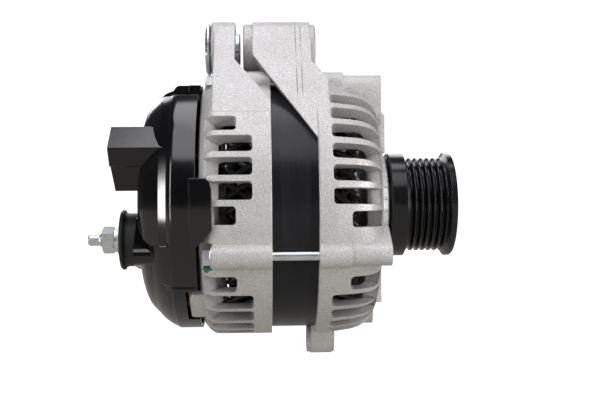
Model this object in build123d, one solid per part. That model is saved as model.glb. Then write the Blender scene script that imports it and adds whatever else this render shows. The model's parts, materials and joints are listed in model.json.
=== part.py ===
from build123d import *

import math
import os

# Car alternator with a six-groove pulley. Millimetres.
# Origin: on the shaft axis, at the centre plane of the belt grooves.
# +X runs along the shaft towards the pulley's nose, +Z towards the upper pivot ear.
# Angles are about the shaft: 0 is +Y, 90 is +Z (the pivot ear), 180 is -Y.

# ---------------------------------------------------------------- driving dimensions

# Pulley and belt
GROOVE_PITCH = 3.56
GROOVE_COUNT = 6
CREST_R = 27.2
VALLEY_R = 24.3
FLANGE_R = 30.1
PULLEY_REAR_X = -21.1
FLANGE_X = 12.7
PULLEY_NOSE_X = 16.2
SHEAVE_BORE_R = 20.0
HUB_R = 15.9

# Stator
CORE_R = 70.2
CORE_BORE_R = 54.0
CORE_REAR_X = -94.0
CORE_FRONT_X = -59.4
SLOT_COUNT = 48
CROWN_IN_R = 57.0
CROWN_OUT_R = 64.6
CROWN_END_R = 62.6
CROWN_FRONT_X = (-47.0, -42.2)
CROWN_REAR_X = (-108.5, -113.6)

# Frames
FRONT_RING_X = -64.4
FRONT_R = 74.0
REAR_RING_X = -88.7
REAR_R = 74.0
REAR_FACE_X = -127.0
CAVITY_R = 66.0
HUB_FACE_X = -22.6
VENT_FLOOR_R = 56.5
BAR_FLOOR_R = 57.5
VENT_CORNER_R = 2.0
VENT_LEAN_R = 74.0
VENT_LEAN = 0.6

# Through bolts: M5 on a 146 mm circle
BOLT_CIRCLE_R = 73.0
BOLT_R = 2.45
BOLT_HEAD = 8.0
BOLT_ANGLES = (21.0, 111.0, 201.0, 291.0)
BOLT_SEAT_X = -119.6
BOLT_TIP_X = -46.0
FRONT_BOSS_X = -26.8

# Pivot ears and their M10 bolt hole
PIVOT_Z = 91.4
PIVOT_R = 5.1
EAR_R = 16.0
EAR_BOSS_R = 14.6
REAR_EAR = (-122.1, -108.2)
REAR_EAR_WEB_X = -120.0
FRONT_EAR = (-103.9, -62.2)
FRONT_EAR_WEB = (-98.4, -57.0)
BUSH_FLANGE = (-125.5, -122.6)
BUSH_FLANGE_R = 15.3
BUSH_R = 9.2
BUSH_END_X = -105.6
BUSH_CLEARANCE = 0.04

# Lower foot and its M10 tapped hole
FOOT_Z = -76.5
FOOT_R = 10.0
FOOT_X = (-68.2, -52.6)
FOOT_HOLE_R = 4.25

# Rotor
ROTOR_R = 53.4
POLE_PAIRS = 8
CLAW_FRONT_X = (-66.0, -57.4)
CLAW_REAR_X = (-96.0, -87.4)
SHAFT_R = 9.0
FAN_BLADES = 11
BLADE_END_FRONT_X = -44.2
BLADE_END_REAR_X = -113.0

# Bearings: (x0, x1, bore r, inner race r, outer race r, outside r, ball r, ball count)
FRONT_BEARING = (-40.0, -26.0, 8.5, 14.0, 19.0, 23.5, 4.0, 8)
REAR_BEARING = (-123.5, -112.5, 7.5, 10.4, 14.6, 17.5, 3.0, 9)
GROOVE_CLEARANCE = 0.05
RETAINER_ANGLES = (45, 135, 225, 315)
RETAINER_SCREW_R = 1.6
RETAINER_CIRCLE_R = 26.8

# Slip rings and brushes
SLIP_RING_R = 7.5
SLIP_RING_X = (-136.0, -145.0)
SLIP_RING_WIDTH = 6.0
BRUSH = (4.6, 6.4)
BRUSH_GAP = 0.05
BRUSH_END_Z = -19.5
SPRING_END_Z = -31.0

# Rectifier: diode angles on each heat sink
NEGATIVE_DIODES = (-134, -112, -68, -45, -22, 2)
POSITIVE_DIODES = (-110, -88, -64, -40, -16, 8)
DIODE_R = 6.35
NEGATIVE_DIODE_R = 57.0
POSITIVE_DIODE_R = 43.5

# Rear cover and its three studs
COVER_EDGE_X = -128.2
COVER_R = 70.3
COVER_WALL = 2.2
COVER_END_X = -161.6
COVER_FLAT_Z = 61.0
HOOD_HALF = 14.0
COVER_STUDS = ((58.0, 32), (38.5, 180), (58.0, 270))
COVER_STUD_R = 2.45
COVER_POCKET_R = 6.6

# Cast pad of the rear frame that shows in the cover's notch
PAD = (-132.5, -123.0, 67.0, 70.2, -137.5, -120.0)
PAD_CORNER_R = 2.4

# Plug shroud
PLUG_TILT = 39.0
PLUG_CENTRE = (-47.1, 32.1)
PLUG_SIZE = (20.6, 12.5)
PLUG_ROOT_X = -140.0
PLUG_END_X = -174.4
PLUG_WALL = 1.8
SOCKET_FLOOR_X = -160.0
PLUG_GAP = 0.4
LATCH = (18.2, 16.8)
PIN_COUNT = 4
PIN_PITCH = 4.4

# Positive terminal
STUD_Y = -27.0
STUD_Z = -18.4
STUD_R = 4.0
TOWER_END_X = -161.9
TOWER_R = 16.2
BOWL_TOP_Z = -20.8
INSULATOR_END_X = -171.5
STUD_END_X = -189.8

# ---------------------------------------------------------------- shape helpers


def disc(x0, x1, r, y=0.0, z=0.0):
    """Cylinder parallel to the shaft, from x0 to x1."""
    low = (Align.CENTER, Align.CENTER, Align.MIN)
    return Pos(x0, y, z) * Rot(Y=90) * Cylinder(r, x1 - x0, align=low)


def tube(x0, x1, r_out, r_in, y=0.0, z=0.0):
    """Hollow cylinder parallel to the shaft."""
    return disc(x0, x1, r_out, y, z) - disc(x0 - 1, x1 + 1, r_in, y, z)


def block(x0, x1, y0, y1, z0, z1):
    """Box between two corners."""
    low = (Align.MIN, Align.MIN, Align.MIN)
    return Pos(x0, y0, z0) * Box(x1 - x0, y1 - y0, z1 - z0, align=low)


def turned(outline, start=0.0, arc=360.0):
    """Body turned about the shaft from an outline of (x, r) points."""
    face = make_face(Polyline(*outline, close=True))
    return Rot(X=start) * revolve(face, Axis.X, arc)


def sector(x0, x1, r0, r1, start, end):
    """Piece of a ring between two angles."""
    return turned([(x0, r0), (x1, r0), (x1, r1), (x0, r1)], start, end - start)


def prism_y(points, y0, y1):
    """Outline of (x, z) points drawn out across the shaft."""
    face = make_face(Polyline(*[(x, z, 0) for x, z in points], close=True))
    return Pos(0, y1, 0) * Rot(X=90) * extrude(face, amount=y1 - y0)


def hull_x(x0, x1, *circles):
    """Hull of circles (y, z, r) drawn out along the shaft."""
    edges = []
    for y, z, r in circles:
        edges += (Pos(y, z) * Circle(r)).edges()
    return extrude(Plane.YZ.offset(x0) * make_hull(edges), amount=x1 - x0)


def polar(r, angle):
    """(y, z) of a point at a radius and an angle about the shaft."""
    return r * math.cos(math.radians(angle)), r * math.sin(math.radians(angle))


def angle_between(a, b):
    """Smallest angle between two directions, in degrees."""
    return abs((a - b + 180) % 360 - 180)


def hexagon(x0, x1, across_flats, y, z, turn=0.0):
    """Hexagonal prism parallel to the shaft with chamfered corners."""
    corner_r = across_flats / math.sqrt(3)
    sketch = RegularPolygon(corner_r, 6, rotation=turn)
    body = extrude(Plane.YZ.offset(x0) * Pos(y, z) * sketch, amount=x1 - x0)
    drop = 0.35 * corner_r
    rim = across_flats / 2 * 0.98
    outline = [(x0, 0), (x0, rim), (x0 + drop * 0.5, rim + drop), (x1 - drop * 0.5, rim + drop)]
    outline += [(x1, rim), (x1, 0)]
    return body & (Pos(0, y, z) * turned(outline))


def save(name, shape):
    """Write one node."""
    export_step(shape, f"parts/{name}.step")


# ---------------------------------------------------------------- frames


def vent_kind(angle, near, far):
    """How far a vent at this angle is cut: none, short or long."""
    gap = min(angle_between(angle, bolt) for bolt in BOLT_ANGLES)
    if gap < near:
        return "none"
    return "short" if gap < far else "long"


def vent_lean(angle):
    """Lean of the vents below the shaft, which open more nearly level than radially."""
    below = (angle - 180) % 360
    if below >= 180:
        return 0.0
    return VENT_LEAN * (min(below, 90 - below) if below < 90 else -min(180 - below, below - 90))


def vent_cutter(outline, angle, width):
    """Slot with rounded corners: an outline of (x, r) points, given a width."""
    low, high = min(x for x, _ in outline), max(x for x, _ in outline)
    window = Pos((low + high) / 2, 0) * RectangleRounded(high - low, width, VENT_CORNER_R)
    slot = prism_y(outline, -width / 2, width / 2)
    slot &= extrude(Plane.XY.offset(40) * window, amount=50)
    lean = Pos(0, 0, VENT_LEAN_R) * Rot(X=-vent_lean(angle)) * Pos(0, 0, -VENT_LEAN_R)
    return Rot(X=angle - 90) * lean * slot


def front_shell():
    """Turned body of the drive-end frame: ring, shoulder, front wall and bearing hub."""
    shoulder = [(-57.0, 74.0), (-50.0, 73.3), (-42.9, 72.2), (-37.6, 70.2), (-33.4, 66.6)]
    shoulder += [(-30.8, 62.0), (-29.4, 56.5)]
    corner = [(-46.0, CAVITY_R), (-41.0, 64.0), (-38.4, 58.5), (-38.0, 52.0)]
    x0, x1 = FRONT_BEARING[0], FRONT_BEARING[1]
    seat_r = FRONT_BEARING[5]
    outline = Curve() + [
        Polyline((CORE_FRONT_X, CORE_R), (FRONT_RING_X, CORE_R), (FRONT_RING_X, 73.4),
                 (-63.8, FRONT_R), (-57.0, FRONT_R)),
        Spline(*shoulder, tangents=[(1, 0), (0.05, -1)]),
        Polyline((-29.4, 56.5), (-28.2, 31.0), (-23.4, 28.6), (HUB_FACE_X, 27.6), (HUB_FACE_X, 18.5),
                 (x1, 18.5), (x1, seat_r), (x0, seat_r), (x0, 30.0), (-38.0, 31.5), (-38.0, 52.0)),
        Spline(*corner, tangents=[(1, 0), (0, -1)]),
        Polyline((-46.0, CAVITY_R), (CORE_FRONT_X, CAVITY_R), (CORE_FRONT_X, CORE_R)),
    ]
    return revolve(make_face(outline), Axis.X)


def front_cavity():
    """Space inside the drive-end frame, used to trim bosses."""
    outline = [(-110, 0), (-110, 71.6), (CORE_FRONT_X, CORE_R), (CORE_FRONT_X, CAVITY_R)]
    outline += [(-46, CAVITY_R), (-41, 64), (-38.4, 58.5), (-38, 52), (-38, 0)]
    return turned(outline)


def front_frame():
    """Drive-end frame: vents, bolt bosses, long pivot ear and foot."""
    body = front_shell()
    cutters = []
    pitch = 360 / 38
    for step in range(38):
        angle = 180 - (3.6 + pitch * step)
        kind = vent_kind(angle, 8, 16)
        if kind == "none":
            continue
        start = -57.0 if kind == "long" else -47.5
        outline = [(start, VENT_FLOOR_R - 4), (-40.5, VENT_FLOOR_R - 4), (-38.0, VENT_FLOOR_R)]
        outline += [(-31.6, 60.5), (-27, 66), (-27, 82), (start, 82)]
        cutters.append(vent_cutter(outline, angle, 8.4))
    body -= cutters
    bosses = []
    for angle in BOLT_ANGLES:
        bosses.append(hull_x(FRONT_RING_X, -48, (*polar(72.6, angle), 6.6), (*polar(62, angle), 9)))
        bosses.append(hull_x(-49, FRONT_BOSS_X, (*polar(71.0, angle), 6.4), (*polar(57, angle), 9)))
    cavity = front_cavity()
    foot_web = hull_x(-66.2, -54.0, (0, FOOT_Z, FOOT_R), (0, -58, 19))
    foot = foot_web + disc(*FOOT_X, FOOT_R - 0.6, 0, FOOT_Z)
    body += [boss - cavity for boss in bosses]
    body += foot - cavity
    body += front_ear()
    for index in range(26):
        rib = block(-28.4, -23.2, -0.9, 0.9, 26.5, 29.8)
        body += Rot(X=index * 360 / 26) * rib
    body += prism_y([(-30, 30), (-22.3, 30), (-22.3, 51.5), (-25.5, 56.0), (-30, 57)], -9, 6)
    body += block(-30, -24.6, -6, 9, -57, -30)
    holes = []
    for angle in BOLT_ANGLES:
        holes.append(disc(FRONT_RING_X - 1, BOLT_TIP_X, BOLT_R, *polar(BOLT_CIRCLE_R, angle)))
        holes.append(disc(-100, FRONT_RING_X, BOLT_R + 0.8, *polar(BOLT_CIRCLE_R, angle)))
    holes.append(disc(FRONT_EAR[0] - 1, FRONT_EAR[1] + 1, PIVOT_R, 0, PIVOT_Z))
    holes.append(disc(FOOT_X[0] - 1, FOOT_X[1] + 1, FOOT_HOLE_R, 0, FOOT_Z))
    return body - holes - retainer_holes(-41, -32)


def front_ear():
    """Long upper ear, hulled on to the ring and trimmed along two diagonals."""
    web = hull_x(*FRONT_EAR_WEB, (0, 0, 73.6), (0, PIVOT_Z, EAR_R))
    web -= prism_y([(-115, 84.5), (-98.4, 84.5), (-64.4, 35.2), (-64.4, -90), (-115, -90)], -90, 90)
    web -= prism_y([(-65.4, 120), (-65.4, 80.5), (-57, 70), (-50, 70), (-50, 120)], -90, 90)
    web -= disc(-115, REAR_RING_X + 0.7, REAR_R + 1.2)
    web -= [disc(-115, REAR_RING_X + 0.7, 8.2, *polar(72.8, angle)) for angle in BOLT_ANGLES]
    web -= front_cavity()
    core = hull_x(-95, -71, (0, 0, 66), (0, PIVOT_Z - 24, 16))
    web -= Pos(0, 10, 0) * core
    return web + turned_boss(*FRONT_EAR, EAR_BOSS_R)


def turned_boss(x0, x1, r):
    """Round ear boss with broken edges, on the pivot axis."""
    outline = [(x0, 0), (x0, r - 0.9), (x0 + 0.9, r), (x1 - 0.9, r), (x1, r - 0.9), (x1, 0)]
    return Pos(0, 0, PIVOT_Z) * turned(outline)


def rear_shell():
    """Turned body of the slip-ring-end frame."""
    x0, x1 = REAR_BEARING[0], REAR_BEARING[1]
    seat_r = REAR_BEARING[5]
    shoulder = [(-116.0, REAR_R), (-121.2, 73.2), (-125.2, 69.6), (REAR_FACE_X, 64.5)]
    corner = [(-119.0, 54.0), (-118.2, 59.6), (-115.2, 64.0), (-110.0, CAVITY_R)]
    outline = Curve() + [
        Polyline((CORE_REAR_X, CAVITY_R), (CORE_REAR_X, CORE_R), (REAR_RING_X, CORE_R),
                 (REAR_RING_X, 73.9), (REAR_RING_X - 0.6, REAR_R), (-116.0, REAR_R)),
        Spline(*shoulder, tangents=[(-1, 0), (-0.1, -1)]),
        Polyline((REAR_FACE_X, 64.5), (REAR_FACE_X, 11.5), (x0, 11.5), (x0, seat_r), (x1 + 1, seat_r),
                 (x1 + 1, 22.0), (-119.0, 23.5), (-119.0, 54.0)),
        Spline(*corner, tangents=[(0, 1), (1, 0)]),
        Polyline((-110.0, CAVITY_R), (CORE_REAR_X, CAVITY_R)),
    ]
    return revolve(make_face(outline), Axis.X)


def rear_cavity():
    """Space inside the slip-ring-end frame, used to trim bosses."""
    outline = [(-80, 0), (-80, CORE_R), (CORE_REAR_X, CORE_R), (CORE_REAR_X, CAVITY_R)]
    outline += [(-110, CAVITY_R), (-115.2, 64), (-118.2, 59.6), (-119, 54), (-119, 0)]
    return turned(outline)


def rear_frame():
    """Slip-ring-end frame: vents, air inlets, bolt bosses and short pivot ear."""
    body = rear_shell()
    cutters = []
    for step in range(36):
        angle = 174.0 - 10 * step
        side = angle_between(angle, 90)
        kind = vent_kind(angle, 8, 17.5)
        if kind == "none" or side < 50:
            continue
        end = -107.2 if kind == "short" or side < 60 else -98.7
        outline = [(end, BAR_FLOOR_R), (-112.5, BAR_FLOOR_R), (-125.5, 73.5), (-125.5, 82), (end, 82)]
        cutters.append(vent_cutter(outline, angle, 9.6))
    for step in range(8):
        cutters.append(sector(-130, -116, 27, 46, step * 45 + 6, step * 45 + 39))
    body -= cutters
    cavity = rear_cavity()
    for angle in BOLT_ANGLES:
        boss = hull_x(-124.6, REAR_RING_X, (*polar(72.8, angle), 6.9), (*polar(60, angle), 9))
        body += boss - cavity
    body += rear_ear() + cast_pad()
    spot = [disc(-140, BOLT_SEAT_X, 7.3, *polar(BOLT_CIRCLE_R, a)) for a in BOLT_ANGLES]
    holes = [disc(-130, REAR_RING_X + 1, BOLT_R, *polar(BOLT_CIRCLE_R, a)) for a in BOLT_ANGLES]
    holes.append(disc(REAR_EAR[0] - 1, REAR_EAR[1] + 1, BUSH_R + BUSH_CLEARANCE, 0, PIVOT_Z))
    return body - spot - holes


def cast_pad():
    """Cast pad that shows in the cover's notch, with its outer corners rounded."""
    x0, x1, r0, r1, start, end = PAD
    window = Pos((x0 + x1) / 2 + 2) * RectangleRounded(x1 - x0 + 4, r1 * math.radians(end - start), PAD_CORNER_R)
    trim = extrude(Plane.XY.offset(r0 - 6) * window, amount=12)
    return sector(*PAD) & (Rot(X=(start + end) / 2 - 90) * trim)


def rear_ear():
    """Short upper ear, hulled on to the ring and trimmed along a diagonal."""
    web = hull_x(REAR_EAR_WEB_X, REAR_RING_X, (0, 0, 74), (0, PIVOT_Z, EAR_R))
    web -= prism_y([(-108.4, 120), (-108.4, 81.6), (-88.7, 56.5), (-80, 56.5), (-80, 120)], -90, 90)
    web -= prism_y([(-130, 50), (-130, -90), (-80, -90), (-80, 50)], -90, 90)
    web -= rear_cavity()
    core = hull_x(-112, -80, (0, 0, 66), (0, PIVOT_Z - 24, 16))
    web -= Pos(0, 10, 0) * core
    return web + turned_boss(*REAR_EAR, EAR_R)


# ---------------------------------------------------------------- stator


def stator_core():
    """Laminated ring with slots for the winding."""
    body = tube(CORE_REAR_X, CORE_FRONT_X, CORE_R, CORE_BORE_R)
    slot = block(CORE_REAR_X - 1, CORE_FRONT_X + 1, -1.6, 1.6, CROWN_IN_R - 1.0, CROWN_OUT_R)
    mouth = block(CORE_REAR_X - 1, CORE_FRONT_X + 1, -0.8, 0.8, CORE_BORE_R - 2, CROWN_IN_R)
    cutters = [Rot(X=360 / SLOT_COUNT * i) * (slot + mouth) for i in range(SLOT_COUNT)]
    return body - cutters


def crown(root, shoulder, end):
    """Ring of end turns, narrowed towards its end."""
    outline = [(root, CROWN_IN_R), (end, CROWN_IN_R), (end, CROWN_END_R), (shoulder, CROWN_OUT_R)]
    return turned(outline + [(root, CROWN_OUT_R)])


def stator_winding():
    """Conductors in the slots, joined by a crown of end turns at each end."""
    body = crown(CORE_FRONT_X, *CROWN_FRONT_X) + crown(CORE_REAR_X, *CROWN_REAR_X)
    bars = []
    for index in range(SLOT_COUNT):
        bar = block(CORE_REAR_X, CORE_FRONT_X, -1.5, 1.5, CROWN_IN_R + 0.4, CROWN_OUT_R - 0.3)
        bars.append(Rot(X=360 / SLOT_COUNT * index) * bar)
    return body + bars


# ---------------------------------------------------------------- fasteners


def through_bolts():
    """Four long bolts with a flanged hexagon head at the rear."""
    bolts = []
    for angle in BOLT_ANGLES:
        y, z = polar(BOLT_CIRCLE_R, angle)
        head = hexagon(BOLT_SEAT_X - 5.0, BOLT_SEAT_X - 1, BOLT_HEAD, y, z, 15)
        rim = [(BOLT_SEAT_X - 1.2, 0), (BOLT_SEAT_X - 1.2, 4.8), (BOLT_SEAT_X - 0.7, 6.2)]
        flange = Pos(0, y, z) * turned(rim + [(BOLT_SEAT_X, 6.2), (BOLT_SEAT_X, 0)])
        shank = disc(BOLT_SEAT_X - 0.5, BOLT_TIP_X, BOLT_R, y, z)
        bolts.append(head + flange + shank)
    return Compound(children=[bolt.solid() for bolt in bolts])


def retainer_holes(x0, x1):
    """Clearance holes for the retainer screws."""
    bore_r = RETAINER_SCREW_R + 0.05
    return [disc(x0, x1, bore_r, *polar(RETAINER_CIRCLE_R, angle)) for angle in RETAINER_ANGLES]


def retainer_plate():
    """Plate that holds the front bearing in its bore."""
    return tube(-42.0, -40.0, 29.5, 17.5) - retainer_holes(-43, -39)


def retainer_screws():
    """Four pan-head screws through the retainer plate."""
    screws = []
    for angle in RETAINER_ANGLES:
        y, z = polar(RETAINER_CIRCLE_R, angle)
        screw = disc(-43.6, -42, 2.7, y, z) + disc(-42, -32.5, RETAINER_SCREW_R, y, z)
        screws.append(screw.solid())
    return Compound(children=screws)


# ---------------------------------------------------------------- bearings


def ball_groove(bearing):
    """Ring of circular section that both races leave free for the balls."""
    x0, x1, _, r_in, r_out, _, ball_r, _ = bearing
    pitch_r = (r_in + r_out) / 2
    middle = (x0 + x1) / 2
    return Pos(middle, 0, 0) * Rot(Y=90) * Torus(pitch_r, ball_r + GROOVE_CLEARANCE)


def bearing_parts(bearing):
    """Inner race, outer race, balls and cage of a deep-groove ball bearing."""
    x0, x1, bore_r, r_in, r_out, outside_r, ball_r, count = bearing
    groove = ball_groove(bearing)
    inner = tube(x0, x1, r_in, bore_r) - groove
    outer = tube(x0, x1, outside_r, r_out) - groove
    pitch_r = (r_in + r_out) / 2
    middle = (x0 + x1) / 2
    half = ball_r * 0.55
    cage = tube(middle - ball_r - 1.0, middle + ball_r + 1.0, pitch_r + half, pitch_r - half)
    balls = []
    for index in range(count):
        place = Rot(X=360 / count * index) * Pos(middle, 0, pitch_r)
        balls.append(place * Sphere(ball_r))
        cage -= place * Sphere(ball_r + 0.08)
    return inner, outer, Compound(children=[ball.solid() for ball in balls]), cage


# ---------------------------------------------------------------- rotor


def rotor_shaft():
    """Stepped shaft, threaded for the pulley hub at the front."""
    outline = [(-152, 0), (-152, 4.6), (-151.4, 5.2), (-128, 5.2), (-128, 7.5), (-111, 7.5)]
    outline += [(-111, SHAFT_R), (-57.4, SHAFT_R), (-57.4, 8.5), (-26, 8.5), (-26, 8.0)]
    outline += [(10, 8.0), (11, 7.2), (11, 0)]
    return turned(outline)


def claw_finger(front):
    """One tapered pole finger, pointing away from its disc."""
    base, tip = CLAW_REAR_X[0], CLAW_FRONT_X[1] - 2.5
    if front:
        base, tip = CLAW_FRONT_X[1], CLAW_REAR_X[0] + 2.5
    outline = [(base, -8.6), (base, 8.6), (tip, 3.2), (tip, -3.2)]
    face = make_face(Polyline(*outline, close=True))
    thick = extrude(Plane.XY.offset(44.5) * face, amount=12)
    return thick & disc(-97, -56, ROTOR_R)


def pole_claw(front):
    """Half of the rotor's iron: a disc, a core stub and eight fingers."""
    x0, x1 = CLAW_FRONT_X if front else CLAW_REAR_X
    middle = (CLAW_FRONT_X[1] + CLAW_REAR_X[0]) / 2
    stub = tube(middle, x1, 26, SHAFT_R) if front else tube(x0, middle, 26, SHAFT_R)
    body = tube(x0, x1, 41.5, SHAFT_R) + stub
    offset = 0 if front else 180 / POLE_PAIRS
    for index in range(POLE_PAIRS):
        turn = Rot(X=360 / POLE_PAIRS * index + offset)
        arm = block(x0, x1, -8.4, 8.4, 36, 46)
        body += turn * arm
        body += turn * claw_finger(front)
    return body - disc(-120, -40, SHAFT_R)


def coil_bobbin():
    """Plastic spool between the claws."""
    x0, x1 = CLAW_REAR_X[1], CLAW_FRONT_X[0]
    body = tube(x0, x1, 28.0, 26.0)
    body += tube(x0, x0 + 1.2, 43.0, 26.0)
    body += tube(x1 - 1.2, x1, 43.0, 26.0)
    return body


def field_coil():
    """Field winding wound on the bobbin."""
    return tube(CLAW_REAR_X[1] + 1.2, CLAW_FRONT_X[0] - 1.2, 42.4, 28.0)


def fan(x_face, x_disc, x_blade):
    """Centrifugal fan: a thin disc with curved blades."""
    low, high = min(x_face, x_disc), max(x_face, x_disc)
    body = tube(low, high, 47.0, SHAFT_R if x_disc < x_face else 8.5)
    low, high = min(x_disc, x_blade), max(x_disc, x_blade)
    blades = []
    for index in range(FAN_BLADES):
        curve = ThreePointArc((0, 30.5), (6.5, 40.5), (17.5, 47.3))
        blade = extrude(Plane.YZ.offset(low) * make_face(trace(curve, 1.6).edges()), amount=high - low)
        blades.append(Rot(X=360 / FAN_BLADES * index) * blade)
    return body + blades


def slip_rings():
    """Two copper rings that the brushes run on."""
    half = SLIP_RING_WIDTH / 2
    rings = [tube(x - half, x + half, SLIP_RING_R, 6.4) for x in SLIP_RING_X]
    return Compound(children=[ring.solid() for ring in rings])


def slip_ring_insulator():
    """Moulded sleeve between the shaft and the slip rings."""
    body = tube(-149.6, -129.6, 6.4, 5.2)
    for x0, x1 in ((-149.6, -148.2), (-141.8, -139.2), (-132.8, -129.6)):
        body += tube(x0, x1, 7.2, 5.2)
    return body


# ---------------------------------------------------------------- pulley


def pulley_sheave():
    """Outer ring of the pulley with belt grooves, a plain shoulder and a front flange."""
    half = GROOVE_PITCH * GROOVE_COUNT / 2
    points = [(-11.9, FLANGE_R), (-half - 0.4, CREST_R)]
    crest, valley = 0.42, 0.34
    for index in range(GROOVE_COUNT):
        middle = -half + GROOVE_PITCH * (index + 0.5)
        points.append((middle - GROOVE_PITCH / 2 + crest, CREST_R))
        points.append((middle - valley, VALLEY_R))
        points.append((middle + valley, VALLEY_R))
        points.append((middle + GROOVE_PITCH / 2 - crest, CREST_R))
    points.append((half + 0.5, CREST_R))
    points.append((FLANGE_X, FLANGE_R))
    start = (PULLEY_REAR_X + 0.8, FLANGE_R)
    stop = (PULLEY_NOSE_X - 0.8, FLANGE_R)
    path = FilletPolyline(start, *merged(points), stop, radius=0.3)
    rest = Polyline(stop, (PULLEY_NOSE_X, FLANGE_R - 0.8), (PULLEY_NOSE_X, SHEAVE_BORE_R + 1.0),
                    (PULLEY_NOSE_X - 1.0, SHEAVE_BORE_R), (PULLEY_REAR_X + 0.6, SHEAVE_BORE_R),
                    (PULLEY_REAR_X, SHEAVE_BORE_R + 0.6), (PULLEY_REAR_X, FLANGE_R - 0.8), start)
    return revolve(make_face(Curve() + [path, rest]), Axis.X)


def merged(points):
    """The points without those that lie on a straight line between their neighbours."""
    kept = [points[0]]
    for before, here, after in zip(points, points[1:], points[2:]):
        if not (before[1] == here[1] == after[1]):
            kept.append(here)
    kept.append(points[-1])
    return kept


def pulley_hub():
    """Inner ring of the pulley, screwed on the shaft."""
    outline = [(-26, 8), (-26, 12), (-20.6, 12), (-20.6, HUB_R), (12.6, HUB_R), (13.2, HUB_R - 0.6)]
    outline += [(13.2, 10), (11.5, 8)]
    return turned(outline)


def clutch_rollers():
    """Rollers of the one-way clutch, between hub and sheave."""
    roller = disc(-12, 6, 2.0, 0, 17.93)
    return Compound(children=[(Rot(X=15 * i) * roller).solid() for i in range(24)])


def pulley_cap():
    """Dust cap snapped into the pulley's nose."""
    outline = [(13.9, 0), (13.9, 19.2), (13.6, SHEAVE_BORE_R), (15.0, SHEAVE_BORE_R), (15.6, 19.0)]
    outline += [(15.6, 9), (15.2, 8), (15.2, 0)]
    return turned(outline)


# ---------------------------------------------------------------- slip-ring-end electrics


def brush_holder():
    """Moulded box that guides both brushes."""
    body = block(-150.2, -130.8, -6.0, 6.0, -33.0, -9.4)
    for x in SLIP_RING_X:
        wide, deep = BRUSH[0] / 2 + BRUSH_GAP, BRUSH[1] / 2 + BRUSH_GAP
        body -= block(x - wide, x + wide, -deep, deep, SPRING_END_Z, -9)
    return body


def brush(x):
    """Carbon brush with its end shaped to the slip ring."""
    body = block(x - BRUSH[0] / 2, x + BRUSH[0] / 2, -BRUSH[1] / 2, BRUSH[1] / 2, BRUSH_END_Z, -5.5)
    return body - disc(x - 5, x + 5, SLIP_RING_R + BRUSH_GAP)


def brush_spring(x):
    """Coil spring behind a brush, ground flat at its ends."""
    length = BRUSH_END_Z - SPRING_END_Z
    path = Helix(pitch=length / 6.5, height=length - 1.0, radius=1.7)
    wire = Plane(origin=path @ 0, z_dir=path % 0) * Circle(0.3)
    coil = sweep(wire, path=path, is_frenet=True)
    return Pos(x, 0, SPRING_END_Z + 0.5) * coil


def plate_arc(x0, x1, r0, r1):
    """Horseshoe plate around the lower part of the cover."""
    return sector(x0, x1, r0, r1, -168, 28)


def cover_stud_holes(r, x0, x1):
    """Clearance holes around the cover studs."""
    return [disc(x0, x1, r, *polar(*place)) for place in COVER_STUDS]


def negative_plate():
    """Earthed heat sink against the frame."""
    body = plate_arc(-133.4, -129.4, 34, 66.5)
    body -= [disc(-140, -120, DIODE_R, *polar(NEGATIVE_DIODE_R, a)) for a in NEGATIVE_DIODES]
    body -= disc(-140, -120, 9.5, STUD_Y, STUD_Z)
    return body - cover_stud_holes(2.7, -140, -120)


def positive_plate():
    """Live heat sink that carries the positive terminal."""
    body = plate_arc(-141.4, -138.0, 30, 52)
    body -= [disc(-150, -130, DIODE_R, *polar(POSITIVE_DIODE_R, a)) for a in POSITIVE_DIODES]
    body -= disc(-150, -130, STUD_R, STUD_Y, STUD_Z)
    return body - block(-150, -130, -6.5, 6.5, -35, -20)


def rectifier_diodes():
    """Twelve press-in diodes, six in each heat sink."""
    cans = []
    for angle in NEGATIVE_DIODES:
        y, z = polar(NEGATIVE_DIODE_R, angle)
        cans.append(disc(-135.4, -129.4, DIODE_R, y, z) + disc(-139.4, -135.4, 0.8, y, z))
    for angle in POSITIVE_DIODES:
        y, z = polar(POSITIVE_DIODE_R, angle)
        cans.append(disc(-144.0, -138.0, DIODE_R, y, z) + disc(-148.0, -144.0, 0.8, y, z))
    return Compound(children=[can.solid() for can in cans])


def terminal_board():
    """Moulded board between the heat sinks."""
    body = plate_arc(-137.9, -135.5, 36, 62)
    body -= disc(-150, -120, 10, STUD_Y, STUD_Z)
    body -= [disc(-150, -120, 1.4, *polar(NEGATIVE_DIODE_R, a)) for a in NEGATIVE_DIODES]
    return body - cover_stud_holes(5.0, -150, -120)


def plug_frame():
    """Place of the plug shroud: local x along its width, y along its height, z to the rear."""
    y, z = PLUG_CENTRE
    tilt = math.radians(PLUG_TILT)
    across = (0, math.cos(tilt), math.sin(tilt))
    return Plane(origin=(0, y, z), x_dir=across, z_dir=(-1, 0, 0))


def plug_box(x0, x1, width, height, drop=0.0, corner=1.2):
    """Box in the plug's tilted frame, from x0 (front) to x1 (rear)."""
    sketch = Pos(0, drop) * RectangleRounded(width, height, corner)
    return extrude(plug_frame().offset(-x0) * sketch, amount=x0 - x1)


def plug_prism(outline, half):
    """Outline of (x, height) points drawn out across the plug, both ways from its middle."""
    return Pos(0, *PLUG_CENTRE) * Rot(X=PLUG_TILT) * prism_y(outline, -half, half)


def latch_outline(grow):
    """Side of the latch housing under the shroud; its end slopes back towards its foot."""
    top = -PLUG_SIZE[1] / 2 + 1
    foot = -PLUG_SIZE[1] / 2 - LATCH[1] - grow
    return [(-150.0, top), (PLUG_END_X + 0.3, top), (PLUG_END_X + 1.4, foot), (-150.0, foot)]


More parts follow.
